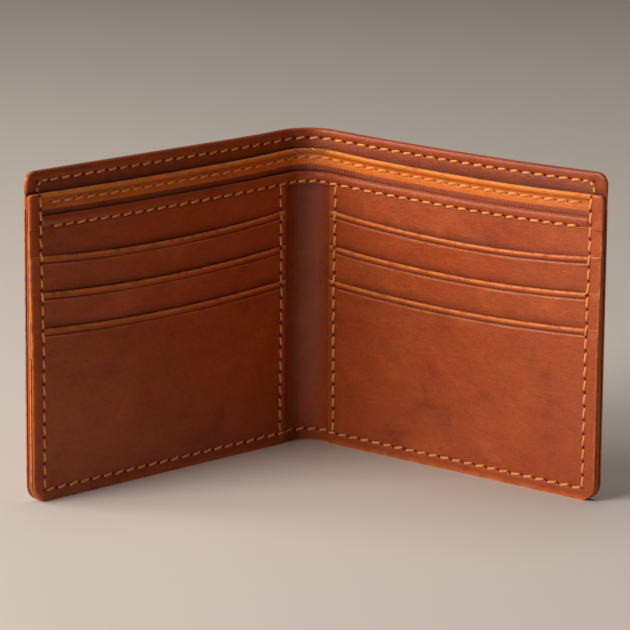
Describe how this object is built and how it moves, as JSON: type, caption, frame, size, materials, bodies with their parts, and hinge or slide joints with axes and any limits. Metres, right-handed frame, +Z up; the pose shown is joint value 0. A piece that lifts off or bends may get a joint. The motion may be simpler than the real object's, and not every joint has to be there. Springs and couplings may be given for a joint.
{
  "type": "bifold wallet",
  "caption": "Folding leather wallet standing half open, with stepped card pockets on each wing and a bound bill divider across the spine.",
  "frame": {"origin": "on the surface the wallet stands on, under the middle of its overall box", "axes": "+Z up the spine; the pockets face -Y and the outside of the spine faces +Y; +X is to the right of someone looking into the wallet"},
  "size_m": [0.1568, 0.0722, 0.091],
  "materials": {
    "cover_leather": "semi-gloss, mottled tan",
    "pocket_leather": "semi-gloss, mottled tan",
    "divider_leather": "satin, red-brown",
    "binding_leather": "satin, light tan",
    "lining_fabric": "matt, dark brown",
    "tail_fabric": "matt, dark brown",
    "thread": "waxed, orange tan"
  },
  "bodies": {
    "spine": {"spine_cover": "cover_leather", "spine_lining": "lining_fabric", "spine_divider": "divider_leather", "spine_divider_binding": "binding_leather", "spine_pocket_panel": "pocket_leather", "spine_perimeter_thread": "thread", "spine_hem_thread": "thread", "spine_divider_thread": "thread", "spine_panel_thread": "thread"},
    "left_wing": {"left_cover": "cover_leather", "left_lining": "lining_fabric", "left_divider": "divider_leather", "left_divider_binding": "binding_leather", "left_pocket_panel": "pocket_leather", "left_pocket_backing": "pocket_leather", "left_top_pocket": "pocket_leather", "left_middle_pocket": "pocket_leather", "left_bottom_pocket": "pocket_leather", "left_top_pocket_tail": "tail_fabric", "left_middle_pocket_tail": "tail_fabric", "left_perimeter_thread": "thread", "left_hem_thread": "thread", "left_divider_thread": "thread", "left_panel_thread": "thread", "left_pocket_thread": "thread"},
    "right_wing": {"right_cover": "cover_leather", "right_lining": "lining_fabric", "right_divider": "divider_leather", "right_divider_binding": "binding_leather", "right_pocket_panel": "pocket_leather", "right_pocket_backing": "pocket_leather", "right_top_pocket": "pocket_leather", "right_middle_pocket": "pocket_leather", "right_bottom_pocket": "pocket_leather", "right_top_pocket_tail": "tail_fabric", "right_middle_pocket_tail": "tail_fabric", "right_perimeter_thread": "thread", "right_hem_thread": "thread", "right_divider_thread": "thread", "right_panel_thread": "thread", "right_pocket_thread": "thread"}
  },
  "joints": [
    {"name": "left_fold", "type": "hinge", "parent": "spine", "child": "left_wing", "pos_m": [-0.00387, 0.03497, 0], "axis": [0, 0, 1], "range_deg": [-43.25, 47.4], "deforming": ["spine_divider", "spine_divider_binding", "spine_pocket_panel", "spine_perimeter_thread", "spine_divider_thread", "spine_panel_thread"]},
    {"name": "right_fold", "type": "hinge", "parent": "spine", "child": "right_wing", "pos_m": [0.00387, 0.03497, 0], "axis": [0, 0, 1], "range_deg": [-47.4, 43.25], "deforming": ["spine_divider", "spine_divider_binding", "spine_pocket_panel", "spine_perimeter_thread", "spine_divider_thread", "spine_panel_thread"]}
  ],
  "couplings": [
    {"joint": "right_fold", "follows": "left_fold", "ratio": -1}
  ]
}
